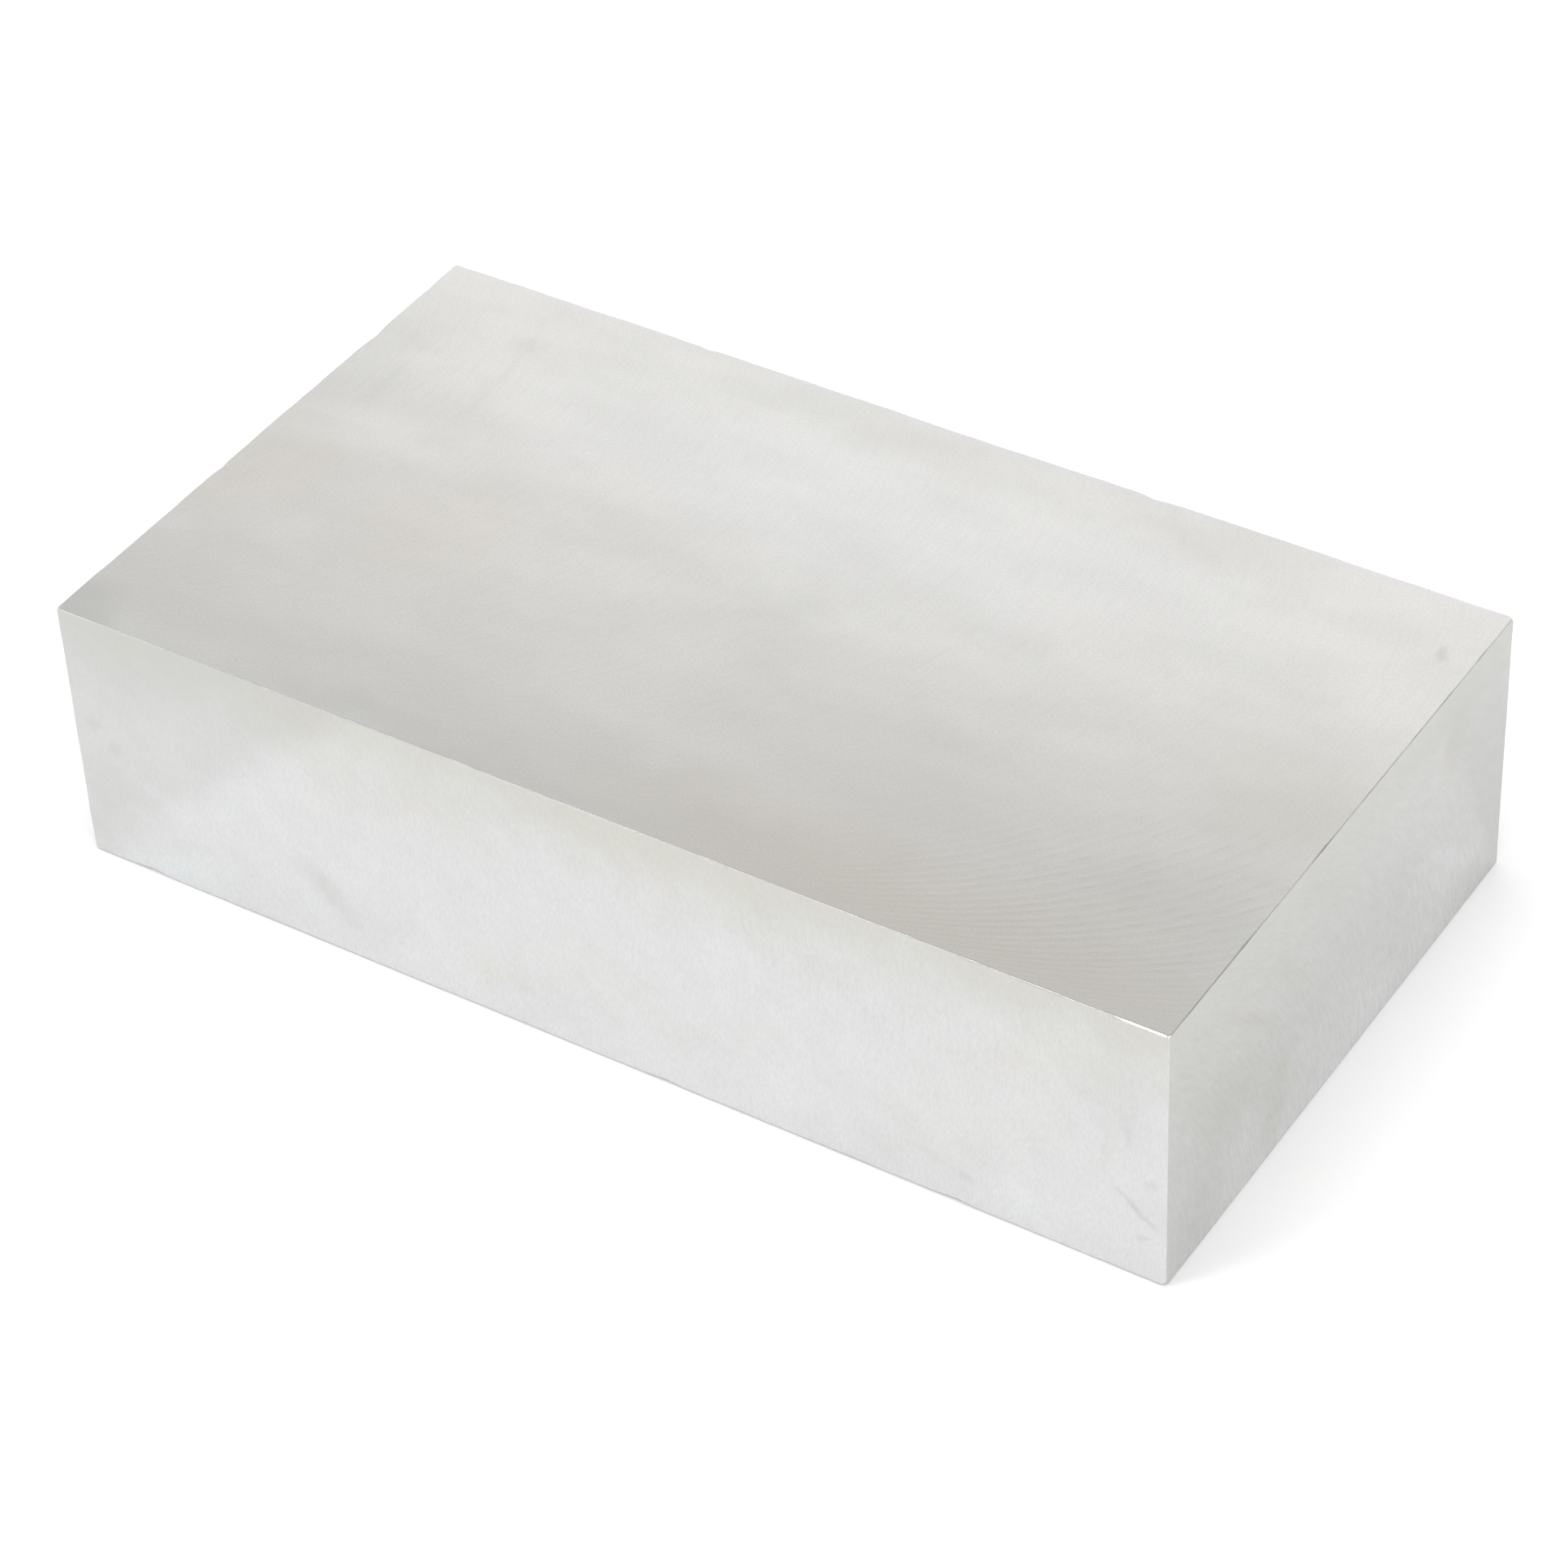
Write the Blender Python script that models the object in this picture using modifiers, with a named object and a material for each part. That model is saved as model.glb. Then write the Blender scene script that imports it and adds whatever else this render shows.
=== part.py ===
"""A solid block of silver-white metal, milled flat on all six faces.

Metres, +Z up. X runs along the block and Y across it. The origin is the centre of the face
that the block rests on. The block is one piece: nothing is fitted to it, let into it or cut
through it, and its edges are broken with a file.
"""

import bmesh
import bpy

# Driving dimensions
LENGTH = 0.200
WIDTH = 0.110
HEIGHT = 0.050
TOP_EDGE_BREAK = 0.0008     # how far the broken edges round the top face reach in from the corner
OTHER_EDGE_BREAK = 0.0005   # the same for the upright edges and those round the rest face
EDGE_BREAK_STEPS = 3        # flats across each broken edge

# Metal
METAL_COLOUR = (0.80, 0.80, 0.785)
METAL_ROUGHNESS = 0.30

# How far an edge's middle may lie from the top plane and still count as an edge of the top face
ON_TOP = 1e-6


def clear_scene():
    """Removes whatever objects the file holds, so that the script can be run again."""
    for old in list(bpy.data.objects):
        bpy.data.objects.remove(old, do_unlink=True)


def make_collection(name):
    """A new collection, linked to the scene."""
    collection = bpy.data.collections.new(name)
    bpy.context.scene.collection.children.link(collection)
    return collection


def make_metal():
    """Bare milled metal, with a satin shine."""
    metal = bpy.data.materials.new("milled_metal")
    metal.use_nodes = True
    shader = metal.node_tree.nodes["Principled BSDF"]
    shader.inputs["Base Color"].default_value = (*METAL_COLOUR, 1.0)
    shader.inputs["Metallic"].default_value = 1.0
    shader.inputs["Roughness"].default_value = METAL_ROUGHNESS
    return metal


def weigh_edges(solid):
    """Gives each edge its share of the widest edge break: all of it round the top, less elsewhere."""
    share = solid.edges.layers.float.new("bevel_weight_edge")
    for edge in solid.edges:
        middle_height = (edge.verts[0].co.z + edge.verts[1].co.z) / 2
        on_top = abs(middle_height - HEIGHT) < ON_TOP
        edge[share] = 1.0 if on_top else OTHER_EDGE_BREAK / TOP_EDGE_BREAK


def make_cuboid():
    """The block before its edges are broken, standing on the origin at its real size."""
    solid = bmesh.new()
    bmesh.ops.create_cube(solid, size=1.0)
    bmesh.ops.scale(solid, vec=(LENGTH, WIDTH, HEIGHT), verts=solid.verts)
    bmesh.ops.translate(solid, vec=(0.0, 0.0, HEIGHT / 2), verts=solid.verts)
    weigh_edges(solid)
    mesh = bpy.data.meshes.new("block")
    solid.to_mesh(mesh)
    solid.free()
    return mesh


def break_edges(block):
    """Rounds every edge a little, by the share that each one holds."""
    bevel = block.modifiers.new("broken_edges", "BEVEL")
    bevel.offset_type = "OFFSET"
    bevel.limit_method = "WEIGHT"
    bevel.width = TOP_EDGE_BREAK
    bevel.segments = EDGE_BREAK_STEPS
    bevel.profile = 0.5


def make_block(collection, metal):
    """The whole object."""
    block = bpy.data.objects.new("block", make_cuboid())
    block.data.materials.append(metal)
    collection.objects.link(block)
    break_edges(block)
    return block


def main():
    clear_scene()
    collection = make_collection("metal_block")
    make_block(collection, make_metal())


main()
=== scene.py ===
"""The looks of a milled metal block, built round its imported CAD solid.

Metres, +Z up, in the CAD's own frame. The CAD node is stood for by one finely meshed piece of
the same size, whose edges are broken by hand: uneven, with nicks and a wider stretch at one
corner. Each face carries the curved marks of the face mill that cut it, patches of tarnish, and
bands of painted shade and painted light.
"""

import math

import bpy
import numpy as np
from mathutils import Matrix, Vector


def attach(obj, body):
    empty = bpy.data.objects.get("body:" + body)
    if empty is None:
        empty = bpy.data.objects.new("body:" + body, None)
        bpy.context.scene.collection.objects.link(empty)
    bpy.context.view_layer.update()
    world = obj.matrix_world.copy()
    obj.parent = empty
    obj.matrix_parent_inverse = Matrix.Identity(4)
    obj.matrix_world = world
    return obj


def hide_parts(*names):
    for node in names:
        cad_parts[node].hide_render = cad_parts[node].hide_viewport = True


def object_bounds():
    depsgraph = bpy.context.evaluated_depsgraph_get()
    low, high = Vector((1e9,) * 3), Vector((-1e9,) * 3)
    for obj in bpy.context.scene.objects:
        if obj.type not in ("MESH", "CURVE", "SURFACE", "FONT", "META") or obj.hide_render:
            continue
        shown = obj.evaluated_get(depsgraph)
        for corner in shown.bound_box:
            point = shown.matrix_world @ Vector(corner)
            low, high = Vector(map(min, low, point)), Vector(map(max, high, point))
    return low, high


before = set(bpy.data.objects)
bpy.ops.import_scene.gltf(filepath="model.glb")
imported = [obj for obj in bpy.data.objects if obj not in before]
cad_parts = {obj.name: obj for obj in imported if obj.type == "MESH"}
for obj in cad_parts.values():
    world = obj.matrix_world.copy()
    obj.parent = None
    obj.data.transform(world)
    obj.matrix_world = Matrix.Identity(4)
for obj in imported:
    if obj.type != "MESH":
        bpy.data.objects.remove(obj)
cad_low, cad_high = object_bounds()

MM = 0.001

# ---------------------------------------------------------------- camera

CAMERA_AZIMUTH = 34.1       # degrees, from looking along +Y towards looking along -X
CAMERA_ELEVATION = 39.95
CAMERA_ROLL = -2.9
CAMERA_DISTANCE = 0.7975
CAMERA_LENS_MM = 115.0
CAMERA_SENSOR_MM = 36.0
CAMERA_CLIP = (0.01, 50.0)
AIM_RIGHT = -0.0003         # how far the aim passes beside the block's centre, in the view plane
AIM_UP = -0.0077

# ---------------------------------------------------------------- the block's mesh

GRID_STEP = 1.2 * MM        # spacing of the mesh lines across the open faces
EDGE_SLOT = 6               # material slot of the broken edges, after the six sides
# Height of the block's middle, from which places on it are measured
MIDDLE_HEIGHT_MM = (cad_low[2] + cad_high[2]) / 2 / MM
EDGE_LINES_MM = (0.0, 0.09, 0.18, 0.28, 0.40, 0.54, 0.70, 0.90, 1.2, 1.6, 2.2)
NOISE_KNOTS = 4096          # random values that smooth noise runs through, from one end to the other

# ---------------------------------------------------------------- light

FLOOR_COLOUR = (0.95, 0.95, 0.95)
FLOOR_RADIUS = 2.2
FLOOR_SIDES = 96
FLOOR_GAP = 0.00005         # keeps the floor off the underside

# The world's brightness is the product of these steps: from and to which elevation each one
# runs, and its value below and above. Degrees.
WORLD_STEPS = ((3.0, 14.0, 1.06, 0.864), (22.0, 40.0, 1.0, 0.954), (41.5, 61.0, 1.0, 0.36))
FLAG_AT = (135.0, 25.0)     # azimuth and elevation of the dark flag
FLAG_BORDERS = (22.0, 8.0)  # how far from its middle it begins, and is full
FLAG_STRENGTH = 0.30        # what is left of the light inside it

# Lamps that face the block: name, azimuth, elevation, distance, width, height, radiance, and
# whether the metal mirrors it. Degrees and metres. The wash lights the floor alone, so that the
# top face doesn't burn out when it is seen from above.
LAMPS = (
    ("key", -35.0, 50.0, 3.0, 0.75, 0.75, 9.0, True),
    ("front", 15.0, 28.0, 3.0, 1.50, 1.00, 1.7, True),
    ("fill", 75.0, 38.0, 3.0, 2.00, 1.50, 1.5, True),
    ("overhead", 0.0, 89.0, 4.0, 2.25, 2.25, 0.95, True),
    ("wash", 0.0, 89.0, 4.0, 2.25, 2.25, 3.60, False),
)
CARD_AT = (-0.13, 0.363, 0.28)
CARD_FACES = (0.0, -35.0)   # azimuth and elevation
CARD_SIZE = (0.66, 0.22)
CARD_RADIANCE = 0.40


def smooth_noise(values, seed, wavelength):
    """One-dimensional smooth noise from -1 to 1, the same on every run."""
    rng = np.random.default_rng(seed)
    knots = rng.uniform(-1.0, 1.0, NOISE_KNOTS)
    at = np.asarray(values) / wavelength + NOISE_KNOTS / 2
    cell = np.floor(at).astype(int)
    part = at - cell
    ease = part * part * (3.0 - 2.0 * part)
    return knots[cell] * (1.0 - ease) + knots[cell + 1] * ease


# ------------------------------------------------------------------------------------------
# Mesh
# ------------------------------------------------------------------------------------------

def mesh_lines(half_length):
    """Coordinates of the mesh lines along one axis, closer together beside both edges."""
    near = np.array(EDGE_LINES_MM) * MM
    middle = half_length - near[-1]
    count = int(math.ceil(2.0 * middle / GRID_STEP))
    inner = np.linspace(-middle, middle, count + 1)
    return np.concatenate([near - half_length, inner[1:-1], half_length - near[::-1]])


class Box:
    """The block's size and centre, read from the CAD."""

    def __init__(self, low, high):
        self.centre = np.array((low + high) / 2)
        self.half = np.array((high - low) / 2)
        self.low = np.array(low)


def grid_surface(box):
    """Vertices and quads of the box's surface, on the mesh lines of its three axes."""
    lines = [mesh_lines(half) for half in box.half]
    counts = [len(one) for one in lines]
    index = -np.ones(counts, dtype=np.int64)
    shell = np.zeros(counts, dtype=bool)
    for axis in range(3):
        ends = [slice(None)] * 3
        ends[axis] = [0, counts[axis] - 1]
        shell[tuple(ends)] = True
    index[shell] = np.arange(shell.sum())
    where = np.argwhere(shell)
    points = np.stack([lines[axis][where[:, axis]] for axis in range(3)], axis=1)

    quads = []
    sides = []
    for axis in range(3):
        for end in (0, counts[axis] - 1):
            sheet = np.take(index, end, axis=axis)
            corners = [sheet[:-1, :-1], sheet[1:, :-1], sheet[1:, 1:], sheet[:-1, 1:]]
            # np.take keeps the other two axes in order, so Y's sheets run the other way round
            outward = (end != 0) != (axis == 1)
            if not outward:
                corners.reverse()
            faces = np.stack([one.ravel() for one in corners], axis=1)
            quads.append(faces)
            sides.append(np.full(len(faces), axis * 2 + (1 if end else 0)))
    return points, np.concatenate(quads), np.concatenate(sides)


# An edge runs along one axis, at one end of each of the other two. For each: the two legs of
# its break in millimetres, which are how far it reaches into each face, and how rough it is.
EDGES = {
    ("x", -1, +1): {"legs": (0.12, 0.24), "rough": 0.40, "seed": 11},
    ("x", +1, +1): {"legs": (0.35, 0.35), "rough": 0.35, "seed": 12},
    ("x", -1, -1): {"legs": (0.32, 0.32), "rough": 0.35, "seed": 13},
    ("x", +1, -1): {"legs": (0.35, 0.35), "rough": 0.35, "seed": 14},
    ("y", +1, +1): {"legs": (0.11, 0.12), "rough": 0.60, "seed": 21},
    ("y", -1, +1): {"legs": (0.35, 0.35), "rough": 0.40, "seed": 22},
    ("y", +1, -1): {"legs": (0.30, 0.30), "rough": 0.35, "seed": 23},
    ("y", -1, -1): {"legs": (0.32, 0.32), "rough": 0.35, "seed": 24},
    ("z", +1, -1): {"legs": (0.13, 0.13), "rough": 0.30, "seed": 31},
    ("z", +1, +1): {"legs": (0.32, 0.32), "rough": 0.30, "seed": 32},
    ("z", -1, -1): {"legs": (0.30, 0.30), "rough": 0.30, "seed": 33},
    ("z", -1, +1): {"legs": (0.32, 0.32), "rough": 0.30, "seed": 34},
}
FRONT_TOP_EDGE = ("x", -1, +1)

# How an edge's width wanders, from slow drift through file strokes to burrs: wavelength and share
EDGE_WAVES = ((0.030, 0.45), (0.0065, 0.55), (0.0028, 0.40))
WAVE_SEED_STEP = 100

# Small nicks: where along the edge and half the width in millimetres, and how much wider the
# break is there
NICKS = {
    ("x", -1, +1): ((-62.0, 1.6, 0.8), (-41.0, 1.3, 0.7), (-22.0, 1.5, 0.9), (23.0, 1.2, 0.8),
                    (57.0, 1.4, 0.9)),
    ("x", +1, +1): ((-48.0, 1.6, 0.9), (37.0, 1.8, 1.1)),
    ("x", -1, -1): ((-88.0, 2.2, 1.2), (12.0, 1.5, 0.8), (64.0, 1.3, 0.9)),
    ("x", +1, -1): ((-15.0, 1.5, 1.0), (71.0, 1.7, 0.9)),
    ("y", +1, +1): ((-33.0, 1.2, 0.9), (-9.0, 1.6, 0.8), (21.0, 1.3, 1.0), (44.0, 1.5, 0.7)),
    ("y", -1, +1): ((-12.0, 1.5, 1.0), (31.0, 1.8, 0.8)),
    ("z", -1, +1): ((-9.0, 1.4, 0.9),),
}

# The left of the front top edge was filed steeply, so that it faces forwards
STEEP_LEGS = (0.14 * MM, 0.42 * MM)
STEEP_ENDS = (-0.025, 0.005)

# Stretches of the front top edge that were filed wider, in millimetres along it: from, to, and
# how much of the way from the usual legs to the wide ones
WIDE_LEGS = (0.29 * MM, 0.26 * MM)
WIDE_STRETCHES = ((65.5, 69.5, 0.30), (75.5, 84.5, 0.36), (90.5, 102.0, 1.0))
WIDE_EASE_MM = 1.6

# How far each corner of the block is rubbed down, as the sum of a point's three distances inwards
CORNERS = {
    (+1, -1, -1): 1.1 * MM, (-1, -1, +1): 0.9 * MM, (+1, +1, +1): 0.9 * MM, (+1, -1, +1): 0.7 * MM,
    (-1, +1, +1): 0.9 * MM, (-1, -1, -1): 0.8 * MM, (+1, +1, -1): 0.9 * MM, (-1, +1, -1): 0.8 * MM,
}


def leg_scale(key, along):
    """How wide the break is along the edge, as a share of its usual width."""
    edge = EDGES[key]
    uneven = np.zeros_like(along)
    for turn, (wavelength, share) in enumerate(EDGE_WAVES):
        uneven += share * smooth_noise(along, edge["seed"] + WAVE_SEED_STEP * turn, wavelength)
    scale = 1.0 + edge["rough"] * uneven
    for middle, half_width, depth in NICKS.get(key, ()):
        scale = scale + depth * np.exp(-((along - middle * MM) / (half_width * MM)) ** 2)
    return scale


def front_top_legs(along, legs):
    """The front top edge's legs: steep on the left, usual in the middle, wide towards the near corner."""
    left = np.clip((along - STEEP_ENDS[0]) / (STEEP_ENDS[1] - STEEP_ENDS[0]), 0.0, 1.0)
    wide = np.zeros_like(along)
    for start, stop, share in WIDE_STRETCHES:
        inside = np.minimum(along / MM - start, stop - along / MM) / WIDE_EASE_MM
        wide = np.maximum(wide, share * np.clip(inside, 0.0, 1.0))
    shaped = [steep * (1.0 - left) + usual * left for steep, usual in zip(STEEP_LEGS, legs)]
    return [one * (1.0 - wide) + widest * wide for one, widest in zip(shaped, WIDE_LEGS)]


def break_edge(points, half, key):
    """Moves the points beside one edge in to the plane that the file left, and says which moved."""
    axis = "xyz".index(key[0])
    first, second = [other for other in range(3) if other != axis]
    inward_first = half[first] - key[1] * points[:, first]
    inward_second = half[second] - key[2] * points[:, second]
    reach = EDGE_LINES_MM[-1] * MM
    near = (inward_first < reach) & (inward_second < reach)
    along = points[near, axis]
    legs = [leg * MM for leg in EDGES[key]["legs"]]
    if key == FRONT_TOP_EDGE:
        legs = front_top_legs(along, legs)
    # the break is the plane slope_first * inward_first + slope_second * inward_second = 1
    scale = leg_scale(key, along)
    slope_first = 1.0 / (legs[0] * scale)
    slope_second = 1.0 / (legs[1] * scale)
    short = 1.0 - slope_first * inward_first[near] - slope_second * inward_second[near]
    step = np.clip(short, 0.0, None) / (slope_first ** 2 + slope_second ** 2)
    points[near, first] -= key[1] * step * slope_first
    points[near, second] -= key[2] * step * slope_second
    return near.nonzero()[0][short > 0.0]


def rub_corner(points, half, corner, reach):
    """Moves the points beside one corner in to a plane across it."""
    ends = np.array(corner)
    short = reach - (half - ends * points).sum(axis=1)
    near = short > 0.0
    points[near] -= ends * (short[near] / len(corner))[:, None]


def block_mesh(box):
    """The block's detailed mesh, with each face's side as its material index."""
    points, quads, sides = grid_surface(box)
    broken = np.zeros(len(points), dtype=bool)
    for key in EDGES:
        broken[break_edge(points, box.half, key)] = True
    for corner, reach in CORNERS.items():
        rub_corner(points, box.half, corner, reach)
    points += box.centre
    mesh = bpy.data.meshes.new("milled_block")
    mesh.from_pydata(points.tolist(), [], quads.tolist())
    # a quad is part of a break where the file moved at least three of its four corners
    on_break = broken[quads].sum(axis=1) >= 3
    slots = np.where(on_break, EDGE_SLOT, sides)
    mesh.polygons.foreach_set("material_index", slots.astype(np.int32))
    mesh.polygons.foreach_set("use_smooth", np.ones(len(quads), dtype=bool))
    mesh.validate()
    mesh.update()
    return mesh


# ------------------------------------------------------------------------------------------
# Materials
# ------------------------------------------------------------------------------------------

# The Mix node's sockets share their names across data types, so its colour ones go by number
MIX_COLOUR_A = 6
MIX_COLOUR_B = 7
MIX_COLOUR_RESULT = 2


class Nodes:
    """Short calls for building a node tree. Unless a call says otherwise, it gives an output."""

    def __init__(self, tree):
        self.tree = tree
        tree.nodes.clear()

    def add(self, kind, **settings):
        """Adds a node and gives it back."""
        node = self.tree.nodes.new(kind)
        for name, value in settings.items():
            setattr(node, name, value)
        return node

    def feed(self, socket, value):
        """Sets a socket to a plain value, or links an output to it."""
        if isinstance(value, bpy.types.NodeSocket):
            self.tree.links.new(value, socket)
        else:
            socket.default_value = value

    def maths(self, operation, *values):
        """One sum on plain numbers."""
        node = self.add("ShaderNodeMath", operation=operation)
        for socket, value in zip(node.inputs, values):
            self.feed(socket, value)
        return node.outputs[0]

    def vector_maths(self, operation, *values):
        """One sum on vectors. Gives the node, since some sums have a plain number as their output."""
        node = self.add("ShaderNodeVectorMath", operation=operation)
        for socket, value in zip(node.inputs, values):
            self.feed(socket, value)
        return node

    def combine(self, x, y, z=0.0):
        """A vector from its three parts."""
        node = self.add("ShaderNodeCombineXYZ")
        for socket, value in zip(node.inputs, (x, y, z)):
            self.feed(socket, value)
        return node.outputs[0]

    def lay_out(self, vector, middle=(0.0, 0.0), turn=0.0, size=(1.0, 1.0)):
        """The place as seen from a frame at the middle, turned in degrees, with the size as its unit."""
        node = self.add("ShaderNodeMapping", vector_type="TEXTURE")
        self.feed(node.inputs["Vector"], vector)
        node.inputs["Location"].default_value = (*middle, 0.0)
        node.inputs["Rotation"].default_value = (0.0, 0.0, math.radians(turn))
        node.inputs["Scale"].default_value = (*size, 1.0)
        return node.outputs[0]

    def noise(self, vector, detail=2.0, roughness=0.5, output="Fac"):
        """Smooth noise whose coarsest lumps are about one unit across."""
        node = self.add("ShaderNodeTexNoise", noise_dimensions="3D")
        self.feed(node.inputs["Vector"], vector)
        node.inputs["Scale"].default_value = 1.0
        node.inputs["Detail"].default_value = detail
        node.inputs["Roughness"].default_value = roughness
        return node.outputs[output]

    def span(self, value, low, high, to_low, to_high, smooth=True):
        """Maps a value from one range to another, and holds it inside the second."""
        node = self.add("ShaderNodeMapRange", interpolation_type="SMOOTHSTEP" if smooth else "LINEAR")
        self.feed(node.inputs["Value"], value)
        node.inputs["From Min"].default_value = low
        node.inputs["From Max"].default_value = high
        self.feed(node.inputs["To Min"], to_low)
        self.feed(node.inputs["To Max"], to_high)
        return node.outputs["Result"]

    def mix(self, share, first, second):
        """Mixes two colours."""
        node = self.add("ShaderNodeMix", data_type="RGBA")
        self.feed(node.inputs["Factor"], share)
        self.feed(node.inputs[MIX_COLOUR_A], first)
        self.feed(node.inputs[MIX_COLOUR_B], second)
        return node.outputs[MIX_COLOUR_RESULT]


# Colours of the metal and of what is on it; several also serve as painted shade and painted light
BARE_FACE = (0.762, 0.755, 0.736, 1.0)
BARE_SIDE = (0.690, 0.693, 0.696, 1.0)
# painted shade: the ends are given darker metal than the other sides, standing for the shaded floor they
# mirror
SHADED_END = (0.590, 0.590, 0.582, 1.0)
BARE_EDGE = (0.655, 0.657, 0.650, 1.0)
GREY = (0.480, 0.483, 0.468, 1.0)
BROWN = (0.640, 0.598, 0.542, 1.0)
OLIVE = (0.590, 0.588, 0.540, 1.0)
COOL = (0.750, 0.785, 0.795, 1.0)
YELLOW = (0.668, 0.658, 0.565, 1.0)
PALE = (0.785, 0.788, 0.792, 1.0)
WARM = (0.742, 0.699, 0.650, 1.0)
MOSS = (0.500, 0.510, 0.430, 1.0)
UMBER = (0.500, 0.470, 0.405, 1.0)

# Marks on a face, mostly stains, with some bands of painted shade and painted light: where along and
# across it, half length, half width, turn, strength, colour.
# Millimetres and degrees, from the block's middle.
TOP_MARKS_AND_PAINTED_LIGHT = (
    # painted highlight, partly a paler tone: the far middle of the top is lighter
    (-5, 29, 92, 25, 2, 0.42, PALE),
    (0, 54, 116, 13, 0, 0.14, GREY),
    # painted shade, partly a warmer tone: the near half of the top is darker
    (0, -34, 118, 30, 0, 0.28, WARM),
    (-93, -8, 17, 24, 0, 0.60, WARM),
    (-60, -8, 28, 24, -10, 0.55, WARM),
    (90, -2, 34, 30, 0, 0.40, BROWN),
    # painted shade, partly a browner tone: the near right corner of the top is darkest
    (56, -52, 100, 27, 0, 0.60, BROWN),
    (90, -32, 30, 14, 15, 0.36, OLIVE),
    (-100, -55, 17, 11, 30, 0.32, GREY),
    (-98, 16, 14, 34, 0, 0.24, OLIVE),
    (-94, 38, 16, 18, 0, 0.18, OLIVE),
    (-20, -34, 48, 4.0, 0, 0.16, PALE),
    (-40, -46, 74, 16, -2, 0.20, OLIVE),
    (-32, -54, 56, 7, 0, 0.20, GREY),
    (48, -22, 70, 17, -6, 0.17, GREY),
    (0, 3, 10, 8, 0, 0.13, GREY),
    (-75, 41, 5.5, 3.5, 15, 0.18, GREY),
    (-74, 29, 2.4, 19, 3, 0.09, GREY),
    (-90, 20, 2.4, 11, 3, 0.09, GREY),
    (-30, 46, 7, 1.6, 0, 0.10, GREY),
    (56, 48, 34, 8, -4, 0.24, BROWN),
    (94.6, 41, 3.4, 1.3, 96, 0.38, GREY),
    (84, 43, 13, 6, 10, 0.22, BROWN),
)
FRONT_MARKS_AND_PAINTED_LIGHT = (
    # painted shade: these two darken the upper band of the front, standing for the dimmer floor it
    # mirrors there
    (0, 30, 260, 23, 0, 0.84, OLIVE),
    (0, 28, 240, 11, 0, 0.32, BROWN),
    (-90, 22, 34, 18, 12, 0.22, GREY),
    # painted light: the bottom of the front is lighter, standing for the brighter floor it mirrors beside
    # the block
    (0, -28, 190, 18, 0, 0.62, PALE),
    # painted shade: together with the front's border of painted shade, this darkens the lower left
    (-97, -10, 13, 9, 40, 0.20, GREY),
    (-86, -23, 20, 5.5, 16, 0.50, COOL),
    (-52, -13, 8.5, 4.0, -38, 0.28, GREY),
    (-47, -18, 4.0, 2.0, -20, 0.15, GREY),
    (-96, 3, 2.4, 2.0, 0, 0.24, GREY),
    (-92.5, -1, 2.8, 2.2, 20, 0.30, GREY),
    (-19, -16, 9, 4.5, 0, 0.22, YELLOW),
    (-14, -17, 3.0, 2.0, 0, 0.10, GREY),
    (-30, 13, 14, 7, 0, 0.14, BROWN),
    (10, 18, 30, 8, -5, 0.16, BROWN),
    (66, -19, 2.2, 1.5, 0, 0.24, GREY),
    (59, -17, 5.0, 1.6, -15, 0.10, GREY),
    (74, 8, 6.5, 4.0, 20, 0.18, BROWN),
    (84, 12, 16, 10, 10, 0.20, YELLOW),
    (92, 9, 8, 13, 0, 0.16, GREY),
    (90, -2, 1.8, 6.5, -6, 0.22, OLIVE),
    (93.5, 3, 1.3, 5.0, 8, 0.22, GREY),
    (97.5, -5, 2.0, 1.3, 20, 0.30, GREY),
    (94.5, -11, 3.6, 0.9, -48, 0.46, GREY),
    (97.0, -13, 3.0, 0.9, -42, 0.40, GREY),
    (92, -9, 1.6, 0.9, -40, 0.34, GREY),
    (96, -17, 2.0, 1.0, 30, 0.26, GREY),
)
RIGHT_MARKS_AND_PAINTED_LIGHT = (
    # painted shade: the upper band of the end is darker
    (0, 30, 200, 25, 0, 0.66, OLIVE),
    # painted light: the bottom of the end is lighter, against the shade where the end meets the floor
    (0, -30, 100, 30, 0, 0.74, PALE),
    (0, 22, 62, 14, 0, 0.22, GREY),
    (34, -12, 18, 7, -38, 0.20, COOL),
    (-38, 2, 27, 8, -42, 0.36, MOSS),
    (-23, -14, 7, 14, -8, 0.40, MOSS),
    (-18, 8, 13, 4, -45, 0.26, MOSS),
    (-30, 8, 22, 2.6, -42, 0.24, UMBER),
    (-6, 15, 15, 4, -38, 0.18, UMBER),
    (-48, -18, 10, 9, 0, 0.16, GREY),
    (36, 14, 6, 9, -20, 0.46, UMBER),
    (28, 20, 16, 6, 0, 0.20, UMBER),
    (42, 19, 6, 7, 0, 0.30, MOSS),
    (-45, 17, 6, 0.7, -30, 0.34, GREY),
    (-49, 13, 5, 0.6, -38, 0.30, GREY),
    (-38, 4, 7, 0.7, -36, 0.28, GREY),
    (-16, 2, 6, 0.6, -44, 0.24, GREY),
    (50, 17, 6, 15, 0, 0.42, GREY),
)
# painted shade: darkens the left of the front top edge, so that it shows no bright reflected line
EDGE_PAINTED_SHADE = ((-58, 25, 70, 12, 0, 0.56, GREY),)
HIDDEN_MARKS = (
    (-40, 6, 28, 13, 12, 0.26, OLIVE),
    (35, -8, 34, 11, -10, 0.22, BROWN),
    (62, 12, 5, 2.5, 30, 0.24, GREY),
    (-12, -12, 3.0, 2.0, 0, 0.24, GREY),
)

# Straight soft borders of painted shade, beyond which a face is duller, standing for the edge of the lit
# floor
# that the face mirrors: a place on the line, its turn, how soft it is, strength and colour. The duller
# side is the one to the left of the line's direction.
# Millimetres and degrees, from the block's middle.
FRONT_PAINTED_SHADE = ((-76.0, -4.0, 43.0, 3.6, 0.34, GREY),)
RIGHT_PAINTED_SHADE = ((43.5, -4.0, -64.0, 3.0, 0.52, GREY),)

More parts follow.
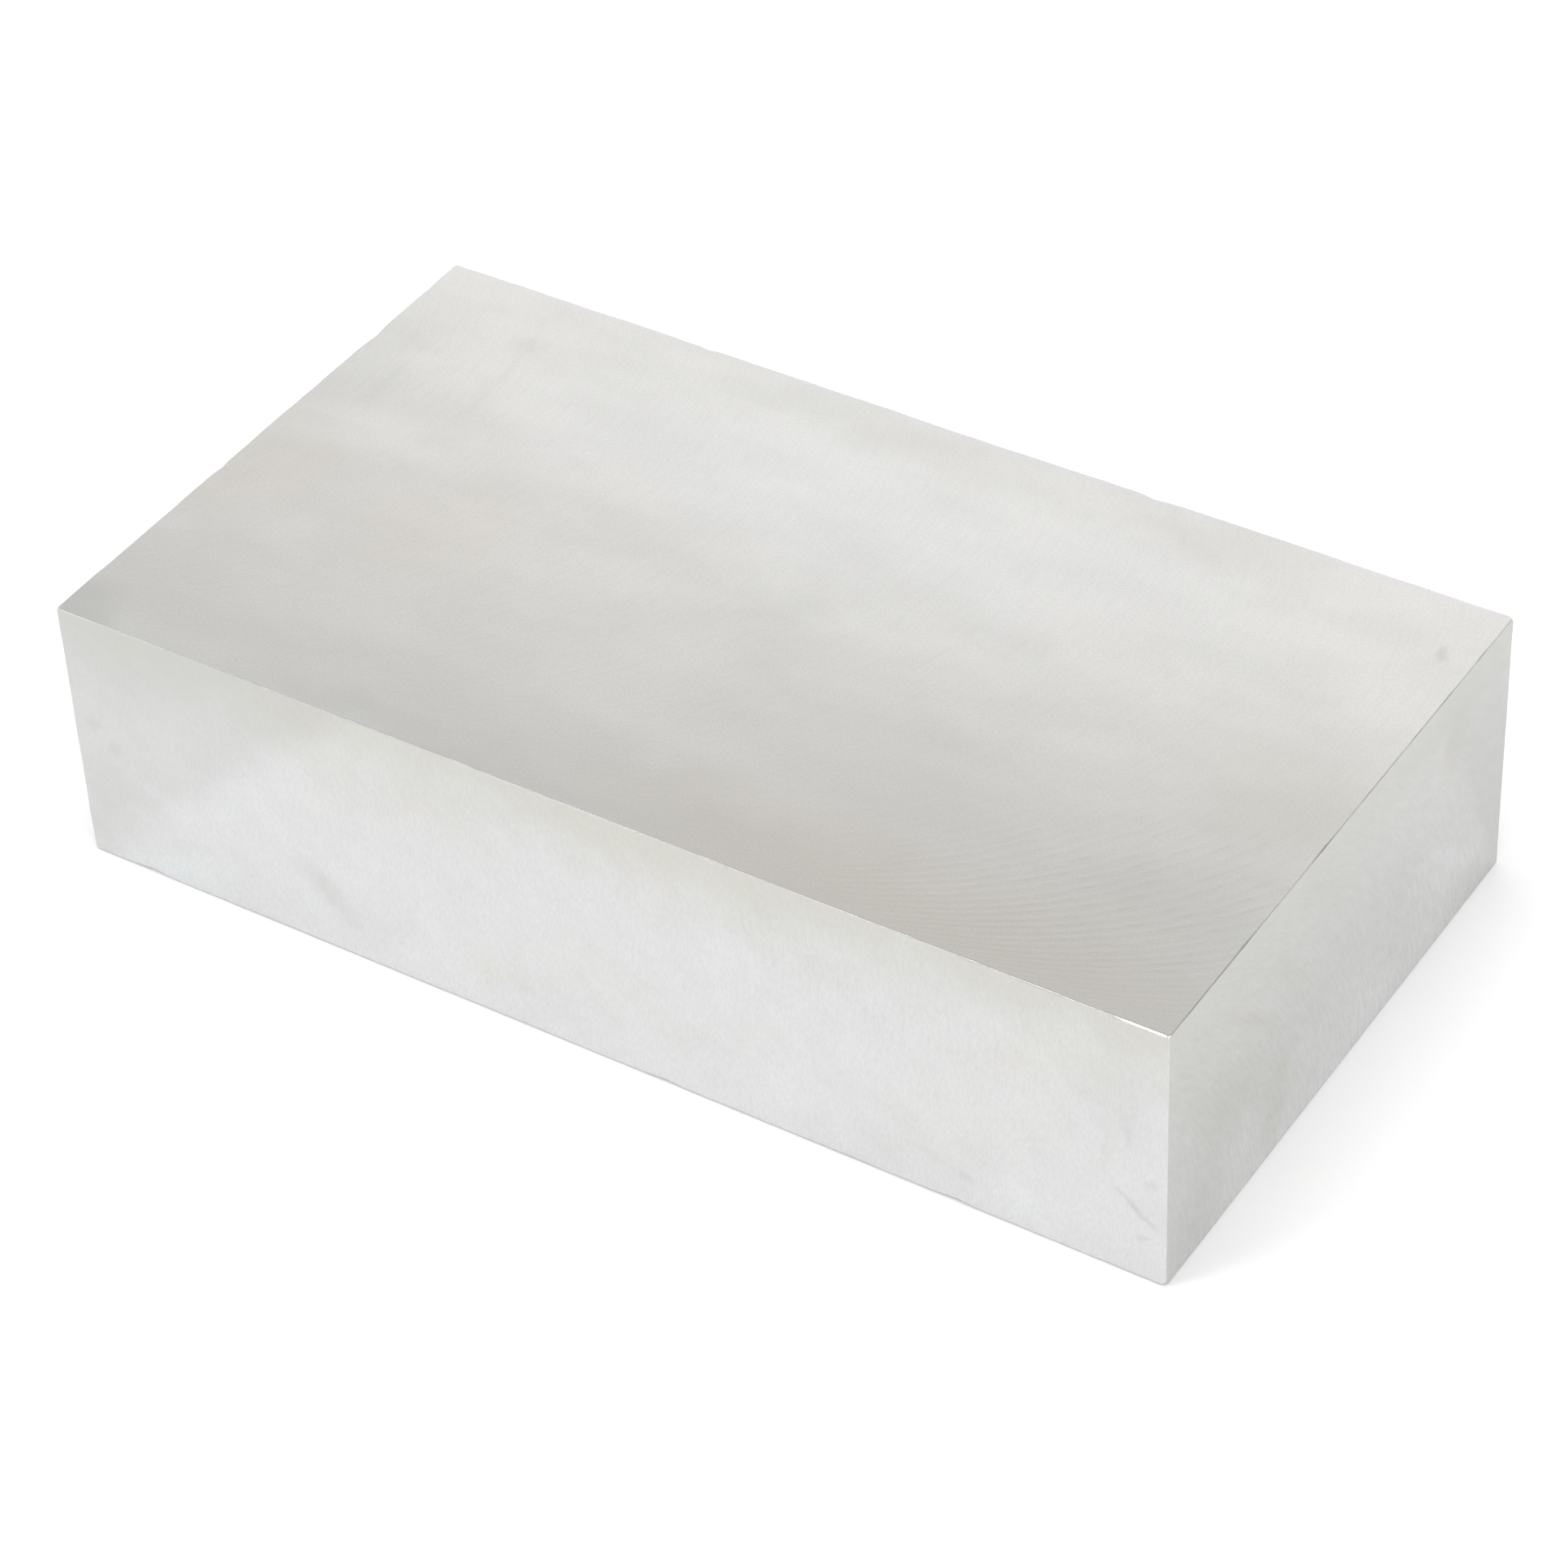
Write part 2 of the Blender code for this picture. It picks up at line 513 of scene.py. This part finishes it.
# How each kind of face was cut. Lengths are in millimetres. The cutter moves along one axis, and
# its centre's place across it is given. Mottling is laid at a turn in degrees, longer than it is
# wide. Cutter lines show most in the ovals of lines_at: place, half sizes, turn and strength.
FACE_MILLED = {
    "along": "X", "across": "Y", "centre": 24.0, "radius": 81.0, "feed": 2.8, "ridge": 0.0022,
    "bare": BARE_FACE, "marks": TOP_MARKS_AND_PAINTED_LIGHT, "borders": (), "line_strength": 0.20, "rough": 0.30,
    "mottle_size": (34.0, 13.0), "mottle_turn": 3.0, "mottle": 0.07, "speckle": 0.29, "streaks": 0.06,
    "lines_at": ((78, -34, 62, 34, 20, 1.0), (-86, 26, 30, 34, 0, 0.45)),
}
SIDE_MILLED = {
    **FACE_MILLED, "across": "Z", "centre": 10.0, "radius": 40.0, "feed": 1.6, "ridge": 0.0006,
    "bare": BARE_SIDE, "marks": FRONT_MARKS_AND_PAINTED_LIGHT, "borders": FRONT_PAINTED_SHADE, "line_strength": 0.10,
    "mottle_size": (8.0, 5.0), "mottle_turn": -25.0, "mottle": 0.11, "speckle": 0.24, "streaks": 0.03,
    "lines_at": ((60, 10, 60, 22, 0, 1.0),),
}
END_MILLED = {
    **SIDE_MILLED, "along": "Y", "centre": -32.0, "radius": 64.0, "ridge": 0.0009,
    "bare": SHADED_END, "marks": RIGHT_MARKS_AND_PAINTED_LIGHT, "borders": RIGHT_PAINTED_SHADE, "line_strength": 0.36,
    "mottle_size": (5.2, 1.8), "mottle_turn": -38.0, "mottle": 0.16, "speckle": 0.32, "streaks": 0.26,
    "lines_at": ((-30, 4, 44, 30, 0, 1.0),),
}
EDGE_FILED = {
    **SIDE_MILLED, "feed": 0.5, "ridge": 0.0004, "bare": BARE_EDGE, "marks": EDGE_PAINTED_SHADE, "borders": (),
    "mottle": 0.10, "speckle": 0.10, "streaks": 0.0, "line_strength": 0.0, "rough": 0.26, "lines_at": (),
}
LEAST_LINES = 0.25          # how much of the cutter lines shows outside those ovals
OVAL_CORE = 0.15            # the share of an oval's half sizes inside which it covers fully
CLOUD_STRENGTH = 0.08
ANISOTROPY = 0.25

# Noise drawn out along the arcs: its size across and along them in millimetres, and its seed
RIDGE_DRIFT = (9.0, 40.0, 3.0)
BROKEN_LINES = (1.9, 4.5, 5.0)
STREAKS = (0.9, 22.0, 0.0)
SCRATCHES = (0.2, 6.0, 7.0)
DARK_STREAKS = (0.8, 5.0, 11.0)
CLOUD_SIZE = (45.0, 30.0)
SPECKLE_SIZE = (0.38, 0.38)
DRIFT_ANGLE = 5.0           # how far drift moves the ridges through their cycle, in radians

# The noise at which each marking begins to show, and at which it shows fully
RIDGE_RANGE = (0.30, 1.0)
BROKEN_RANGE = (0.42, 0.62)
MOTTLE_RANGE = (0.30, 0.72)
CLOUD_RANGE = (0.35, 0.70)
STREAK_RANGE = (0.38, 0.68)
SPECKLE_RANGE = (0.30, 0.75)

# How a mark's border wanders: the noise's size and how far it moves a place, in millimetres
LOOSE_WANDER = (16.0, 22.0)
TIGHT_WANDER = (3.0, 2.6)
BORDER_WANDER = (9.0, 3.0)
LOOSE_ABOVE = 6.0           # marks whose half sizes are both above this wander loosely

# Heights of the finer marks, as shares of a ridge's
STREAK_HEIGHT = 1.6
SCRATCH_HEIGHT = 0.5

# What mottling and scratches add to the roughness, and the noise between which mottling does so
MOTTLE_ROUGHNESS = (-0.02, 0.03)
SCRATCH_ROUGHNESS = 0.05
ROUGHNESS_RANGE = (0.3, 0.7)


class Face:
    """The places and directions that one face's material is laid out on."""

    def __init__(self, nodes, lay):
        place = nodes.add("ShaderNodeTexCoord").outputs["Object"]
        scale = nodes.add("ShaderNodeVectorMath", operation="SCALE")
        nodes.feed(scale.inputs[0], place)
        scale.inputs["Scale"].default_value = 1.0 / MM
        low = nodes.vector_maths("SUBTRACT", scale.outputs[0], (0.0, 0.0, MIDDLE_HEIGHT_MM))
        self.in_mm = low.outputs[0]
        split = nodes.add("ShaderNodeSeparateXYZ")
        nodes.feed(split.inputs[0], self.in_mm)
        along = split.outputs["XYZ".index(lay["along"])]
        across = split.outputs["XYZ".index(lay["across"])]
        self.flat = nodes.combine(along, across)
        # the arcs that the cutter left: lead grows by one feed from each arc to the next
        self.offset = nodes.maths("SUBTRACT", across, lay["centre"])
        square = nodes.maths("MULTIPLY", self.offset, self.offset)
        inside = nodes.maths("SUBTRACT", lay["radius"] ** 2, square)
        # held above zero, for places farther across than the cutter reached
        self.reach = nodes.maths("SQRT", nodes.maths("MAXIMUM", inside, 1.0))
        self.lead = nodes.maths("SUBTRACT", along, self.reach)
        swing = nodes.maths("ARCTAN2", self.offset, self.reach)
        self.arc = nodes.maths("MULTIPLY", swing, lay["radius"])

    def stretched(self, nodes, across_step, along_step, seed):
        """A place for noise that is drawn out along the arcs."""
        across = nodes.maths("MULTIPLY", self.lead, 1.0 / across_step)
        along = nodes.maths("MULTIPLY", self.arc, 1.0 / along_step)
        return nodes.combine(across, along, seed)


def oval(nodes, place, middle, size, turn):
    """How much of a soft oval covers a place: 1 at its middle and 0 outside it."""
    laid = nodes.lay_out(place, middle, turn, size)
    length = nodes.add("ShaderNodeVectorMath", operation="LENGTH")
    nodes.feed(length.inputs[0], laid)
    return nodes.span(length.outputs["Value"], OVAL_CORE, 1.0, 1.0, 0.0)


def wander(nodes, place, size, reach):
    """The place, moved about by smooth noise, so that marks laid on it have uneven borders."""
    noise = nodes.noise(nodes.lay_out(place, size=(size, size)), detail=3.0, output="Color")
    centred = nodes.vector_maths("SUBTRACT", noise, (0.5, 0.5, 0.5)).outputs[0]
    moved = nodes.vector_maths("MULTIPLY_ADD", centred, (reach, reach, 0.0), place)
    return moved.outputs[0]


def add_painted_shade(nodes, face, colour, borders):
    """Paints shade: dulls a colour beyond each straight border."""
    for along, across, turn, softness, strength, tone in borders:
        laid = nodes.lay_out(wander(nodes, face.flat, *BORDER_WANDER), (along, across), turn)
        split = nodes.add("ShaderNodeSeparateXYZ")
        nodes.feed(split.inputs[0], laid)
        beyond = nodes.span(split.outputs["Y"], -softness, softness, 0.0, strength)
        colour = nodes.mix(beyond, colour, tone)
    return colour


def add_marks(nodes, face, colour, marks):
    """Lays the named marks over a colour, stains and bands of painted shade and painted light alike, the
    large ones with more uneven borders.
    """
    loose = wander(nodes, face.flat, *LOOSE_WANDER)
    tight = wander(nodes, face.flat, *TIGHT_WANDER)
    for along, across, length, width, turn, strength, tone in marks:
        place = loose if min(length, width) > LOOSE_ABOVE else tight
        cover = oval(nodes, place, (along, across), (length, width), turn)
        colour = nodes.mix(nodes.maths("MULTIPLY", cover, strength), colour, tone)
    return colour


def cutter_lines(nodes, face, lay):
    """Ridges along the arcs, and dark broken lines on them, both fading where they show least."""
    drift = nodes.noise(face.stretched(nodes, *RIDGE_DRIFT), detail=1.0)
    turn = nodes.maths("MULTIPLY", face.lead, 2.0 * math.pi / lay["feed"])
    ridge = nodes.maths("SINE", nodes.maths("MULTIPLY_ADD", drift, DRIFT_ANGLE, turn))
    line = nodes.span(ridge, *RIDGE_RANGE, 0.0, 1.0)
    broken = nodes.noise(face.stretched(nodes, *BROKEN_LINES), detail=3.0, roughness=0.6)
    dashes = nodes.maths("MULTIPLY", line, nodes.span(broken, *BROKEN_RANGE, 0.0, 1.0))
    shown = LEAST_LINES
    for along, across, length, width, angle, strength in lay["lines_at"]:
        cover = oval(nodes, face.flat, (along, across), (length, width), angle)
        shown = nodes.maths("MAXIMUM", shown, nodes.maths("MULTIPLY", cover, strength))
    return nodes.maths("MULTIPLY", ridge, shown), nodes.maths("MULTIPLY", dashes, shown)


def surface_colour(nodes, face, lay, lines):
    """Bare metal, mottled, streaked and speckled, with its marks (stains, and bands of painted shade and
    painted light), borders of painted shade and cutter lines.
    """
    mottle_at = nodes.lay_out(face.flat, turn=lay["mottle_turn"], size=lay["mottle_size"])
    mottle = nodes.noise(mottle_at, detail=4.0, roughness=0.58)
    shaded = nodes.span(mottle, *MOTTLE_RANGE, 0.0, lay["mottle"])
    colour = nodes.mix(shaded, lay["bare"], GREY)
    clouds = nodes.noise(nodes.lay_out(face.flat, size=CLOUD_SIZE), detail=2.0)
    colour = nodes.mix(nodes.span(clouds, *CLOUD_RANGE, 0.0, CLOUD_STRENGTH), colour, BROWN)
    colour = add_marks(nodes, face, colour, lay["marks"])
    colour = add_painted_shade(nodes, face, colour, lay["borders"])
    streaks = nodes.noise(face.stretched(nodes, *DARK_STREAKS), detail=3.0, roughness=0.6)
    colour = nodes.mix(nodes.span(streaks, *STREAK_RANGE, 0.0, lay["streaks"]), colour, GREY)
    colour = nodes.mix(nodes.maths("MULTIPLY", lines, lay["line_strength"]), colour, UMBER)
    speckle = nodes.noise(nodes.lay_out(face.in_mm, size=SPECKLE_SIZE), detail=1.0)
    speckled = nodes.span(speckle, *SPECKLE_RANGE, 0.0, lay["speckle"], smooth=False)
    return nodes.mix(speckled, colour, GREY), mottle


def surface_bump(nodes, face, lay, ridge):
    """The shape too fine for the mesh: ridges along the arcs and scratches between them."""
    streaks = nodes.noise(face.stretched(nodes, *STREAKS), detail=4.0, roughness=0.62)
    scratches = nodes.noise(face.stretched(nodes, *SCRATCHES), detail=2.0, roughness=0.6)
    height = nodes.maths("MULTIPLY", ridge, lay["ridge"])
    height = nodes.maths("MULTIPLY_ADD", streaks, lay["ridge"] * STREAK_HEIGHT, height)
    height = nodes.maths("MULTIPLY_ADD", scratches, lay["ridge"] * SCRATCH_HEIGHT, height)
    bump = nodes.add("ShaderNodeBump")
    bump.inputs["Strength"].default_value = 1.0
    bump.inputs["Distance"].default_value = MM
    nodes.feed(bump.inputs["Height"], height)
    return bump.outputs["Normal"], scratches


def milled_metal(name, lay):
    """Bare metal under one face's mill marks, with smudges and bands of painted shade and painted light.
    """
    material = bpy.data.materials.new(name)
    material.use_nodes = True
    nodes = Nodes(material.node_tree)
    face = Face(nodes, lay)
    ridge, lines = cutter_lines(nodes, face, lay)
    colour, mottle = surface_colour(nodes, face, lay, lines)
    normal, scratches = surface_bump(nodes, face, lay, ridge)
    smoothest, roughest = [lay["rough"] + change for change in MOTTLE_ROUGHNESS]
    rough = nodes.span(mottle, *ROUGHNESS_RANGE, smoothest, roughest)
    rough = nodes.maths("MULTIPLY_ADD", scratches, SCRATCH_ROUGHNESS, rough)
    # the sheen is widest across the marks
    parts = {lay["along"]: face.reach, lay["across"]: face.offset}
    across_marks = nodes.combine(*[parts.get(axis, 0.0) for axis in "XYZ"])
    tangent = nodes.vector_maths("NORMALIZE", across_marks)
    shader = nodes.add("ShaderNodeBsdfPrincipled")
    shader.inputs["Metallic"].default_value = 1.0
    shader.inputs["Anisotropic"].default_value = ANISOTROPY
    nodes.feed(shader.inputs["Base Color"], colour)
    nodes.feed(shader.inputs["Roughness"], rough)
    nodes.feed(shader.inputs["Normal"], normal)
    nodes.feed(shader.inputs["Tangent"], tangent.outputs[0])
    nodes.feed(nodes.add("ShaderNodeOutputMaterial").inputs["Surface"], shader.outputs[0])
    return material


def block_materials():
    """One material for each side, in the order left, right, front, back, bottom, top, then edges."""
    hidden = {"marks": HIDDEN_MARKS, "borders": ()}
    lays = (
        ("milled_left_end", {**END_MILLED, **hidden}), ("milled_right_end", END_MILLED),
        ("milled_front", SIDE_MILLED), ("milled_back", {**SIDE_MILLED, **hidden}),
        ("milled_bottom", {**FACE_MILLED, **hidden}), ("milled_top", FACE_MILLED),
        ("filed_edge", EDGE_FILED),
    )
    return [milled_metal(name, lay) for name, lay in lays]


def make_block(box):
    """The whole object, in one piece."""
    piece = bpy.data.objects.new("milled_block", block_mesh(box))
    for material in block_materials():
        piece.data.materials.append(material)
    bpy.context.scene.collection.objects.link(piece)
    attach(piece, "root")
    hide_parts("block")


# ------------------------------------------------------------------------------------------
# Studio
# ------------------------------------------------------------------------------------------

def make_floor(box):
    """A plain pale disc under the block."""
    bpy.ops.mesh.primitive_circle_add(vertices=FLOOR_SIDES, radius=FLOOR_RADIUS, fill_type="NGON",
                                      location=(0.0, 0.0, box.low[2] - FLOOR_GAP))
    floor = bpy.context.object
    floor.name = "floor"
    material = bpy.data.materials.new("floor_white")
    material.use_nodes = True
    shader = material.node_tree.nodes["Principled BSDF"]
    shader.inputs["Base Color"].default_value = (*FLOOR_COLOUR, 1.0)
    shader.inputs["Roughness"].default_value = 1.0
    shader.inputs["Specular IOR Level"].default_value = 0.0
    floor.data.materials.append(material)


def direction(azimuth, elevation):
    """A unit vector: azimuth 0 is -Y and 90 is +X, as seen from the block."""
    a = math.radians(azimuth)
    e = math.radians(elevation)
    return Vector((math.sin(a) * math.cos(e), -math.cos(a) * math.cos(e), math.sin(e)))


def make_softbox(name, place, target, size, radiance, mirrored=True):
    """A rectangular lamp of even brightness, which faces its target and isn't itself seen."""
    lamp = bpy.data.lights.new(name, "AREA")
    lamp.shape = "RECTANGLE"
    lamp.size, lamp.size_y = size
    lamp.energy = radiance * math.pi * lamp.size * lamp.size_y
    holder = bpy.data.objects.new(name, lamp)
    holder.location = place
    holder.rotation_euler = (place - target).to_track_quat("Z", "Y").to_euler()
    holder.visible_camera = False
    holder.visible_glossy = mirrored
    bpy.context.scene.collection.objects.link(holder)


def light_block(box):
    """Key from the front left, two fills, a broad soft overhead and a low card behind the block."""
    middle = Vector(box.centre)
    for name, azimuth, elevation, distance, width, height, radiance, mirrored in LAMPS:
        place = middle + distance * direction(azimuth, elevation)
        make_softbox(name, place, middle, (width, height), radiance, mirrored)
    card_at = Vector(CARD_AT)
    make_softbox("card", card_at, card_at + direction(*CARD_FACES), CARD_SIZE, CARD_RADIANCE)


def make_world():
    """A pale studio: white round the horizon, darker overhead, with a dark flag at the back right."""
    world = bpy.data.worlds.new("studio")
    world.use_nodes = True
    nodes = Nodes(world.node_tree)
    towards = nodes.add("ShaderNodeTexCoord").outputs["Generated"]
    split = nodes.add("ShaderNodeSeparateXYZ")
    nodes.feed(split.inputs[0], towards)
    strength = 1.0
    for start, stop, low, high in WORLD_STEPS:
        heights = [math.sin(math.radians(angle)) for angle in (start, stop)]
        strength = nodes.maths("MULTIPLY", strength, nodes.span(split.outputs["Z"], *heights, low, high))
    flag_side = nodes.vector_maths("DOT_PRODUCT", towards, direction(*FLAG_AT)).outputs["Value"]
    borders = [math.cos(math.radians(angle)) for angle in FLAG_BORDERS]
    strength = nodes.maths("MULTIPLY", strength, nodes.span(flag_side, *borders, 1.0, FLAG_STRENGTH))
    background = nodes.add("ShaderNodeBackground")
    background.inputs["Color"].default_value = (1.0, 1.0, 1.0, 1.0)
    nodes.feed(background.inputs["Strength"], strength)
    nodes.feed(nodes.add("ShaderNodeOutputWorld").inputs["Surface"], background.outputs[0])
    bpy.context.scene.world = world


def make_camera(box):
    """The camera, at the photograph's viewing angle."""
    camera = bpy.data.cameras.new("camera")
    camera.lens = CAMERA_LENS_MM
    camera.sensor_width = CAMERA_SENSOR_MM
    camera.clip_start, camera.clip_end = CAMERA_CLIP
    back = direction(CAMERA_AZIMUTH, CAMERA_ELEVATION)
    right = Vector((0.0, 0.0, 1.0)).cross(back).normalized()
    up = back.cross(right)
    place = Vector(box.centre) + right * AIM_RIGHT + up * AIM_UP + back * CAMERA_DISTANCE
    facing = Matrix((right, up, back)).transposed() @ Matrix.Rotation(math.radians(CAMERA_ROLL), 3, "Z")
    holder = bpy.data.objects.new("camera", camera)
    holder.matrix_world = Matrix.Translation(place) @ facing.to_4x4()
    bpy.context.scene.collection.objects.link(holder)
    bpy.context.scene.camera = holder


block_box = Box(cad_low, cad_high)
make_block(block_box)
make_floor(block_box)
make_world()
light_block(block_box)
make_camera(block_box)
bpy.context.scene.view_settings.view_transform = "Standard"
